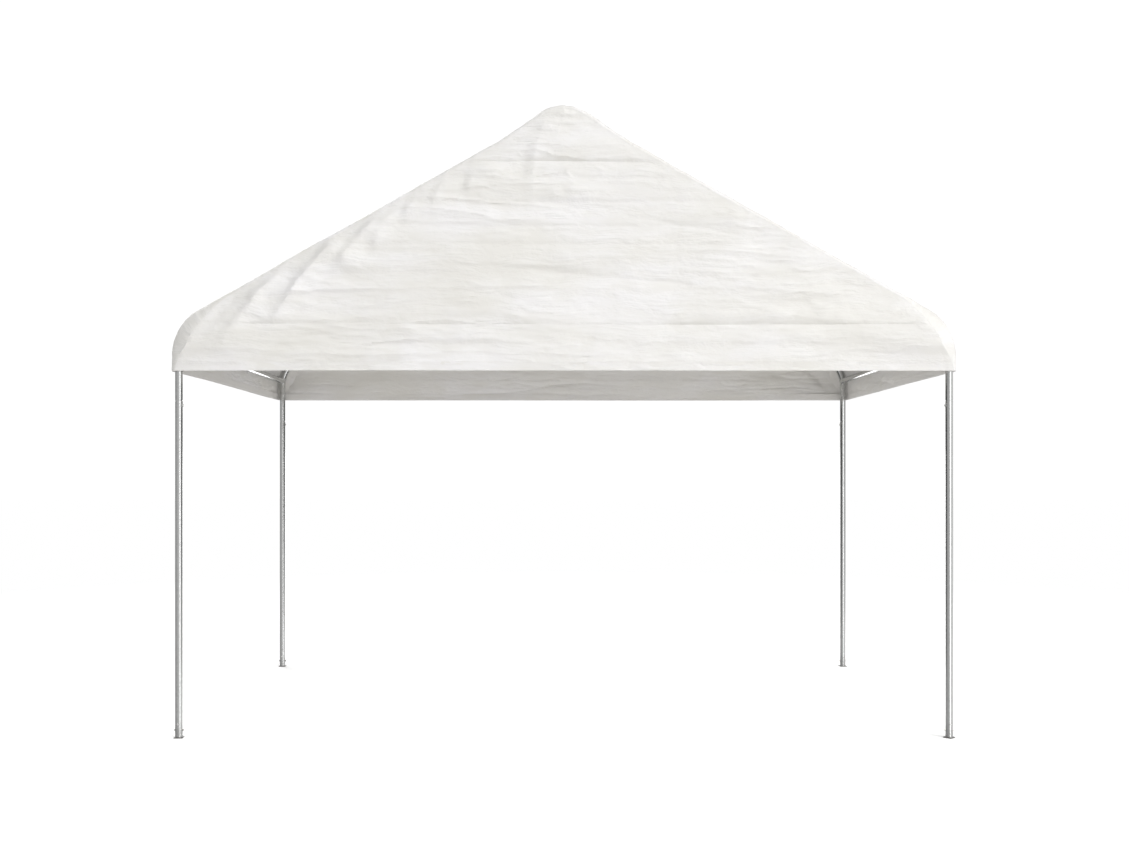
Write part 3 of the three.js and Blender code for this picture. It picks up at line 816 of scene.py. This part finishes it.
# The hem's section from the bottom edge, round the turn and up inside: inward, up.
HEM_TURN = ((HEM_GAP * 0.15, -0.0011), (HEM_GAP * 0.5, -0.0016), (HEM_GAP * 0.85, -0.0011),
            (HEM_GAP, 0.0), (HEM_GAP, HEM_ALLOWANCE * 0.33), (HEM_GAP, HEM_ALLOWANCE * 0.67),
            (HEM_GAP * 0.8, HEM_ALLOWANCE))
HEM_TURN_STEP = 0.002
STITCH_PITCH = 0.009
STITCH_LENGTH = 0.006
THREAD_RADIUS = 0.0006


def smooth_step(value, low, high):
    share = min(max((value - low) / (high - low), 0.0), 1.0)
    return share * share * (3 - 2 * share)


def cover_outline():
    """The cover's outer face in the gable's plane, right hem to left hem: points, normals, distances."""
    roof_rise = COVER_ROOF_OFFSET / math.cos(PITCH)
    shoulder_z = EAVE_Z - (COVER_X - LEG_X) * math.tan(PITCH) + roof_rise
    apex_z = RIDGE_APEX_Z + COVER_ROOF_OFFSET / math.cos(RIDGE_PITCH)
    kink_x = (apex_z - shoulder_z - COVER_X * math.tan(PITCH)) / (math.tan(RIDGE_PITCH) - math.tan(PITCH))
    kink_z = apex_z - kink_x * math.tan(RIDGE_PITCH)
    corners = [Vector(corner) for corner in ((COVER_X, HEM_Z), (COVER_X, shoulder_z), (kink_x, kink_z),
                                             (0, apex_z), (-kink_x, kink_z))]
    radii = [SHOULDER_RADIUS, COVER_KINK_RADIUS, RIDGE_BEND_RADIUS + COVER_ROOF_OFFSET]
    steps = [(SIDE_STEPS, SHOULDER_STEPS), (ROOF_STEPS, KINK_STEPS), (ARM_STEPS, RIDGE_STEPS)]
    points, headings = [corners[0]], [Vector((0, 1))]
    for i, (radius, (straight, curve)) in enumerate(zip(radii, steps)):
        turn, at = bend(*corners[i:i + 3], radius)
        start, heading = at(0)
        points += [points[-1].lerp(start, k / straight) for k in range(1, straight + 1)]
        headings += [heading] * straight
        if i == len(radii) - 1:
            turn /= 2  # only up to the ridge: the other half mirrors this one
        for k in range(1, curve + 1):
            point, heading = at(turn * k / curve)
            points.append(point)
            headings.append(heading)
    normals = [Vector((heading.y, -heading.x)) for heading in headings]
    points += [Vector((-point.x, point.y)) for point in reversed(points[:-1])]
    normals += [Vector((-normal.x, normal.y)) for normal in reversed(normals[:-1])]
    return points, normals, distances(points)


# Folds that packing left across a gable, from edge to edge: height and depth.
PACKING_FOLDS = ((3.215, 0.013), (3.172, 0.013), (3.140, 0.008), (2.987, 0.011), (2.900, 0.005),
                 (2.780, 0.005), (2.655, 0.0045), (2.560, 0.0035), (2.410, 0.003), (2.145, 0.009),
                 (2.040, 0.0028))
# Shorter creases that slant across each gable: left point, right point and depth.
SLANT_CREASES = (((-0.26, 2.435), (0.80, 2.340), 0.0065), ((0.34, 2.708), (1.06, 2.583), 0.0050),
                 ((-0.62, 2.454), (0.12, 2.420), 0.0045), ((-1.14, 2.530), (-0.60, 2.518), 0.0045),
                 ((0.86, 2.275), (1.58, 2.235), 0.0045), ((-0.05, 2.760), (0.40, 2.735), 0.0035))
PEAK_LEAN = 0.042  # how far a gable leans out, per metre, above this height:
PEAK_LEAN_FROM = 2.987
HEM_FLARE = 0.013  # how far the hem stands out, easing off over this height:
HEM_FLARE_HEIGHT = 0.17
FULLNESS = 0.014  # how far a gable is pulled out by its folds, over this stretch: edge, crest, end
FULLNESS_X = (-1.90, -1.05, 1.10)
# Soft folds that fan out from the left shoulder of the front gable: top point, foot point, rise, and
# half the width of the steep side.
FAN_FOLDS = (((-1.22, 2.58), (-1.54, 2.12), 0.0270, 0.022), ((-0.99, 2.70), (-1.22, 2.38), 0.0185, 0.024),
             ((-1.50, 2.42), (-1.79, 2.04), 0.0230, 0.026), ((-1.63, 2.33), (-1.90, 1.98), 0.0100, 0.022),
             ((-1.36, 2.46), (-1.62, 2.08), 0.0080, 0.026), ((-0.90, 2.74), (-1.02, 2.46), 0.0075, 0.024),
             ((-0.77, 2.86), (-0.84, 2.62), 0.0075, 0.022), ((-0.63, 2.93), (-0.69, 2.70), 0.0070, 0.022),
             ((-0.46, 3.02), (-0.51, 2.80), 0.0080, 0.022), ((-0.14, 3.17), (-0.20, 2.84), 0.0080, 0.036))
# The rear gable's folds run up from its right hem corner.
REAR_FOLDS = (((1.50, 2.40), (2.03, 1.85), 0.0190, 0.021), ((1.22, 2.50), (1.60, 1.98), 0.0130, 0.021),
              ((-1.10, 2.40), (-1.32, 2.08), 0.0090, 0.021), ((0.30, 2.95), (0.37, 2.68), 0.0070, 0.021))
FOLD_RELAX = 0.090  # how fast the slow side runs out
# Ridges of the sheet's creases: seed, how often across and along in a metre, and rise.
CREASES = ((0, 0.9, 6.0, 0.0056), (2, 2.3, 15.0, 0.0042), (3, 5.0, 33.0, 0.0024))
PRESSED = -0.0015  # the deepest relief where the sheet lies on a tube
HANGING = -0.06  # and elsewhere


def noise_at(x, y, seed):
    return noise.noise(Vector((x, y, seed)))


def strand(x, y, seed):
    """Ridged noise: 0 between creases and 1 on a crease."""
    return max(0.0, 1 - abs(noise_at(x, y, seed)) * 3.2) ** 2


def creases(across, along, seed):
    """Long, nearly level creases of a stiff sheet, stronger in some places than in others."""
    along += 0.045 * noise_at(across * 1.1, along * 2.2, seed + 9)
    across += 0.10 * noise_at(across * 2.0, along * 3.0, seed + 11)
    calm = min(max(0.45 + 1.6 * noise_at(across * 1.3, along * 2.2, seed + 5), 0.05), 1.3)
    ridges = sum(strand(across * x, along * y, seed + shift) * rise for shift, x, y, rise in CREASES)
    swell = 0.0070 * noise_at(across, along * 2.6, seed + 7)
    dents = 0.0036 * noise_at(across * 4.0, along * 9.0, seed + 8)
    return ridges * calm + swell + dents - 0.0020


def fold_across(z, x, seed):
    """The sharp creases that packing left, as narrow valleys from edge to edge."""
    height = 0.0
    for level, depth in PACKING_FOLDS:
        drift = level + 0.009 * noise_at(x * 1.3, level * 7, seed)
        strength = 1.05 + 0.4 * noise_at(x * 1.7, level * 13, seed + 4.3)
        height -= depth * strength * valley(z - drift)
    return height


def valley(away):
    """A crease's section: steep on its upper side and slow on its lower side."""
    return math.exp(-abs(away) / (0.011 if away > 0 else 0.032))


def slanted(x, z):
    height = 0.0
    for (left_x, left_z), (right_x, right_z), depth in SLANT_CREASES:
        share = (x - left_x) / (right_x - left_x)
        if -0.1 < share < 1.1:
            waver = 0.012 * noise_at(x * 5.0, left_z * 9, 4.0)
            fade = smooth_step(share, -0.1, 0.25) * (1 - smooth_step(share, 0.75, 1.1))
            height -= depth * fade * valley(z - left_z - (right_z - left_z) * share - waver)
    return height


def fan(x, z, folds):
    """Folds that stand proud and fall away steeply on their left, slowly on their right."""
    height = 0.0
    for (top_x, top_z), (foot_x, foot_z), rise, width in folds:
        run = Vector((top_x - foot_x, top_z - foot_z))
        away = Vector((x - foot_x, z - foot_z))
        share = away.dot(run) / run.length_squared
        if -0.25 < share < 1.30:
            waver = 0.014 * noise_at(share * 3.0, foot_x * 5, 2.0)
            waver += 0.008 * noise_at(share * 11.0, foot_x * 5, 6.0)
            distance = away.cross(run.normalized()) + 0.015 * math.sin(share * 3.0) + waver
            fade = smooth_step(share, -0.25, 0.55) * (1 - smooth_step(share, 0.95, 1.30))
            fade *= 1 + 0.8 * noise_at(share * 4.0, foot_x * 5, 9.0)
            climb = smooth_step(distance, -width, width)
            fall = math.exp(-max(distance - width, 0) / FOLD_RELAX)
            height += rise * fade * climb * fall
    return height


def quads(near, far):
    """The faces between two rows of vertices."""
    return [(near[c], near[c + 1], far[c + 1], far[c]) for c in range(len(near) - 1)]


class CoverSheet:
    """The whole cover as one sheet: a band over the roof and sides, rounded edges, and two gables."""

    def __init__(self):
        self.points, self.normals, self.marks = cover_outline()
        self.count = len(self.points)
        self.middle = self.count // 2
        self.girth = self.marks[-1]
        self.verts, self.wrap_uv, self.flat_uv = [], [], []
        self.wrap_faces, self.flat_faces = [], []
        self.band_reach = COVER_Y - EDGE_DEPTH
        depths = [self.band_reach * (2 * j / DEPTH_STEPS - 1) for j in range(DEPTH_STEPS + 1)]
        self.band = [[self.band_vertex(i, y) for y in depths] for i in range(self.count)]
        self.edges = {sign: self.edge_rows(sign) for sign in (-1, 1)}
        self.gables = {sign: self.gable_rows(sign) for sign in (-1, 1)}
        self.add_faces()

    def vertex(self, point, normal, height, wrap, flat):
        self.verts.append(point + normal * height)
        self.wrap_uv.append(wrap)
        self.flat_uv.append(flat)
        return len(self.verts) - 1

    def roof_relief(self, i, y):
        """Creases along the roof, the sag between the two rafters, and nothing pressed into the frame."""
        ridge = abs(self.marks[i] - self.girth / 2)
        between = 1 - (y / self.band_reach) ** 2
        on_slope = smooth_step(ridge, 0.03, 0.7) * (1 - smooth_step(ridge, 1.7, 2.25))
        near_shoulder = smooth_step(ridge, 1.7, 2.2)
        sag = (0.030 * on_slope + 0.004 * near_shoulder) * between
        seed = 31.0 if self.marks[i] < self.girth / 2 else 47.0
        near_rafter = smooth_step(abs(y), self.band_reach - 0.14, self.band_reach - 0.02)
        near_purlin = 1 - smooth_step(ridge, 0.03, 0.14)
        pressed = max(near_rafter, near_purlin)
        relief = creases(y, self.marks[i], seed) * 1.1 * (1 - 0.65 * pressed)
        return max(relief - sag, PRESSED if pressed > 0.5 else HANGING)

    def gable_relief(self, x, z, sign):
        seed = 3.0 if sign < 0 else 77.0
        folds = FAN_FOLDS if sign < 0 else REAR_FOLDS
        height = creases(x, z, seed) * 1.25 + fold_across(z, x, seed) + fan(x, z, folds)
        height += PEAK_LEAN * max(z - PEAK_LEAN_FROM, 0)
        height += HEM_FLARE * max(1 - (z - HEM_Z) / HEM_FLARE_HEIGHT, 0) ** 2
        edge, crest, end = FULLNESS_X
        height += FULLNESS * smooth_step(x * -sign, edge, crest) * (1 - smooth_step(x * -sign, crest, end))
        return height + slanted(x * -sign, z)

    def band_vertex(self, i, y):
        point, normal = self.points[i], self.normals[i]
        return self.vertex(Vector((point.x, y, point.y)), Vector((normal.x, 0, normal.y)),
                           self.roof_relief(i, y), (y, self.marks[i]), (point.x, point.y))

    def inset(self, i):
        """How far in from the outline the gable begins."""
        mark = min(self.marks[i], self.girth - self.marks[i])
        side_end = self.marks[SIDE_STEPS]
        bend_end = self.marks[SIDE_STEPS + SHOULDER_STEPS]
        rise = smooth_step(mark, -0.02, side_end + 0.09)
        fall = 1 - smooth_step(mark, bend_end - 0.12, bend_end + 0.18)
        return EDGE_INSET + (SHOULDER_INSET - EDGE_INSET) * rise * fall

    def proud(self, i):
        """How far outside the gable's plane its seam stands, most at the shoulder."""
        return SHOULDER_PROUD * (self.inset(i) - EDGE_INSET) / (SHOULDER_INSET - EDGE_INSET)

    def edge_rows(self, sign):
        """The rounded edge, from the band's end round a bend to the gable's seam."""
        rows = []
        for i in range(self.count):
            point, outward = self.points[i], self.normals[i]
            seam = Vector((self.inset(i), EDGE_DEPTH + self.proud(i)))
            sharp = self.proud(i) / SHOULDER_PROUD
            middle = Vector((EDGE_ROUND, EDGE_DEPTH * (1.0 - 0.31 * sharp)))
            row = []
            for k in range(1, EDGE_STEPS + 1):
                t = k / EDGE_STEPS
                spot = middle * (2 * t * (1 - t)) + seam * t * t
                run = (middle * (2 - 4 * t) + seam * 2 * t).normalized()
                place = point - outward * spot.x
                y = sign * (self.band_reach + spot.y)
                lean = Vector((outward.x * run.y, sign * run.x, outward.y * run.y)).normalized()
                relief = (1 - t * t) * self.roof_relief(i, sign * self.band_reach)
                relief += t * t * self.seamed(place.x, place.y, sign, i)
                row.append(self.vertex(Vector((place.x, y, place.y)), lean, relief,
                                       (sign * self.band_reach + sign * seam.length * t, self.marks[i]),
                                       (place.x, place.y)))
            rows.append(row)
        return rows

    def seamed(self, x, z, sign, i):
        """The gable's relief at its seam: held by the stitching, and slightly puckered."""
        pucker = 0.0009 * noise_at(self.marks[i] * 14, sign * 3.0, 12.0)
        return max(self.gable_relief(x, z, sign) * 0.35 + pucker, -0.006)

    def gable_rows(self, sign):
        """Rows across the gable, each between a point of its outline and the mirrored point."""
        rows = []
        for i in range(self.middle):
            right = self.edges[sign][i][-1]
            left = self.edges[sign][self.count - 1 - i][-1]
            right_x, left_x = self.flat_uv[right][0], self.flat_uv[left][0]
            z = self.flat_uv[right][1]
            row = [right]
            for c in range(1, WIDTH_STEPS):
                x = right_x + (left_x - right_x) * c / WIDTH_STEPS
                from_seam = min(abs(x - right_x), abs(x - left_x)) * math.sin(PITCH)
                held = smooth_step(from_seam, 0.0, 0.06)
                free = self.gable_relief(x, z, sign)
                seam_i = i if x > 0 else self.count - 1 - i
                relief = held * free + (1 - held) * self.seamed(x, z, sign, seam_i)
                relief += self.proud(seam_i) * (1 - smooth_step(from_seam, 0.0, SEAM_REACH))
                row.append(self.vertex(Vector((x, sign * COVER_Y, z)), Y * sign, relief, (0, 0), (x, z)))
            row.append(left)
            rows.append(row)
        return rows

    def add_faces(self):
        for i in range(self.count - 1):
            self.wrap_faces += quads(self.band[i], self.band[i + 1])
            for sign, rows in self.edges.items():
                start = 0 if sign < 0 else DEPTH_STEPS
                self.wrap_faces += quads([self.band[i][start]] + rows[i],
                                         [self.band[i + 1][start]] + rows[i + 1])
        for sign, rows in self.gables.items():
            for near, far in zip(rows, rows[1:]):
                self.flat_faces += quads(near, far)
            peak = self.edges[sign][self.middle][-1]
            self.flat_faces += [(a, b, peak) for a, b in zip(rows[-1], rows[-1][1:])]

    def level_loop(self, i):
        """The closed loop round the cover at one level of its sides, seen from above anticlockwise."""
        other = self.count - 1 - i
        loop = self.band[i] + self.edges[1][i] + self.gables[1][i][1:-1] + self.edges[1][other][::-1]
        loop += self.band[other][::-1] + self.edges[-1][other]
        return loop + self.gables[-1][i][1:-1][::-1] + self.edges[-1][i][::-1]

    def add_hem(self):
        """Turns the bottom edge in and up, as the sewn hem does."""
        near = loop = self.level_loop(0)
        outward = loop_outward([self.verts[v] for v in loop])
        travelled = 0.0
        for inward, rise in HEM_TURN:
            travelled += HEM_TURN_STEP if rise <= 0 else HEM_ALLOWANCE * 0.33
            far = []
            for start, away in zip(loop, outward):
                wrap, flat = self.wrap_uv[start], self.flat_uv[start]
                far.append(self.vertex(self.verts[start] - away * inward + Z * rise, away, 0.0,
                                       (wrap[0], wrap[1] - travelled), (flat[0], flat[1] - travelled)))
            self.flat_faces += quads(near + near[:1], far + far[:1])
            near = far

    def piece(self):
        mesh = bpy.data.meshes.new("cover")
        mesh.from_pydata(self.verts, [], self.wrap_faces + self.flat_faces)
        layer = mesh.uv_layers.new(name="sheet")
        for polygon in mesh.polygons:
            source = self.wrap_uv if polygon.index < len(self.wrap_faces) else self.flat_uv
            for loop_index in polygon.loop_indices:
                layer.data[loop_index].uv = source[mesh.loops[loop_index].vertex_index]
        bm = bmesh.new()
        bm.from_mesh(mesh)
        bmesh.ops.recalc_face_normals(bm, faces=bm.faces)
        bm.to_mesh(mesh)
        bm.free()
        mesh.materials.append(FABRIC)
        return add_object("cover", mesh)


def sew(solid, route, outward, closed):
    """Lays stitches along a route of points on the sheet."""
    if closed:
        route, outward = route + route[:1], outward + outward[:1]
    position = STITCH_PITCH / 2
    travelled = 0.0
    for near, far, away in zip(route, route[1:], outward):
        span = (far - near).length
        if span < 1e-6:
            continue
        heading = (far - near) / span
        while position < travelled + span:
            middle = near + heading * (position - travelled) + away * THREAD_RADIUS * 0.6
            side = heading.cross(away).normalized()
            over = side.cross(heading)
            rings = [[middle - heading * STITCH_LENGTH / 2 - over * THREAD_RADIUS]]
            for shift in (-0.3, 0.3):
                centre = middle + heading * STITCH_LENGTH * shift
                rings.append([centre + THREAD_RADIUS * (math.cos(a) * side + math.sin(a) * over)
                              for a in (math.pi / 3 * k for k in range(6))])
            rings.append([middle + heading * STITCH_LENGTH / 2 - over * THREAD_RADIUS])
            solid.loft(rings)
            position += STITCH_PITCH
        travelled += span


def loop_outward(route):
    normals = []
    for index in range(len(route)):
        run = route[(index + 1) % len(route)] - route[index - 1]
        normals.append(Vector((run.y, -run.x, 0)).normalized())
    return normals


def add_cover():
    sheet = CoverSheet()
    hem_level = min(range(SIDE_STEPS), key=lambda i: abs(sheet.points[i].y - HEM_Z - HEM_ALLOWANCE * 0.9))
    hem_route = [sheet.verts[v] for v in sheet.level_loop(hem_level)]
    stitching = Solid()
    sew(stitching, hem_route, loop_outward(hem_route), closed=True)
    for sign, rows in sheet.edges.items():
        route = [sheet.verts[row[-1]] for row in rows]
        sew(stitching, route, [Y * sign] * len(route), closed=False)
    sheet.add_hem()
    cover = sheet.piece()
    nodes = [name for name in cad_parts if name.startswith("cover_")]
    fit(cover, "cover", *nodes)
    stitches = stitching.piece("cover_stitching", THREAD)
    shade(stitches.data)
    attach(stitches, "cover")


# ---- Assembly ----
add_camera()
add_world()
add_floor()
add_flag(0, -1.1, 1.4, 1.88)
add_flag(4.6, 0.4, 5.0, 2.4)
add_area("key", (21, -19, 20.5), (0, -0.5, 2.2), 18, 18, KEY_RADIANCE)
add_area("front", (2.6, -13, 1.5), (0.5, 0, 1.5), 5, 13, FRONT_RADIANCE, in_reflections=False)
add_area("strip", (3.5, -5.6, 1.5), (0, 0, 1.5), 1.4, 9, STRIP_RADIANCE, on_cloth=False)
add_area("low", (0, 8, -0.3), (0, 0, 0.5), 3.4, 4, STRIP_RADIANCE, on_cloth=False)
add_area("rear", (-13, 15, 14), (0, 0.5, 2.2), 13, 13, REAR_RADIANCE)
bpy.context.scene.view_settings.view_transform = "Standard"

for end, end_sign in ENDS.items():
    for side, side_sign in GABLE_SIDES.items():
        corner = f"{end}_{side}"
        add_leg(corner, side_sign, end_sign)
        add_corner_fitting(corner, side_sign, end_sign)
        add_rafter(corner, side_sign, end_sign)
    add_ridge_fitting(end, end_sign)
for side, side_sign in GABLE_SIDES.items():
    add_purlin(f"eave_purlin_{side}", side_sign * EAVE_PURLIN_X, EAVE_PURLIN_Z)
add_purlin("ridge_purlin", 0.0, RIDGE_Z)
add_cover()
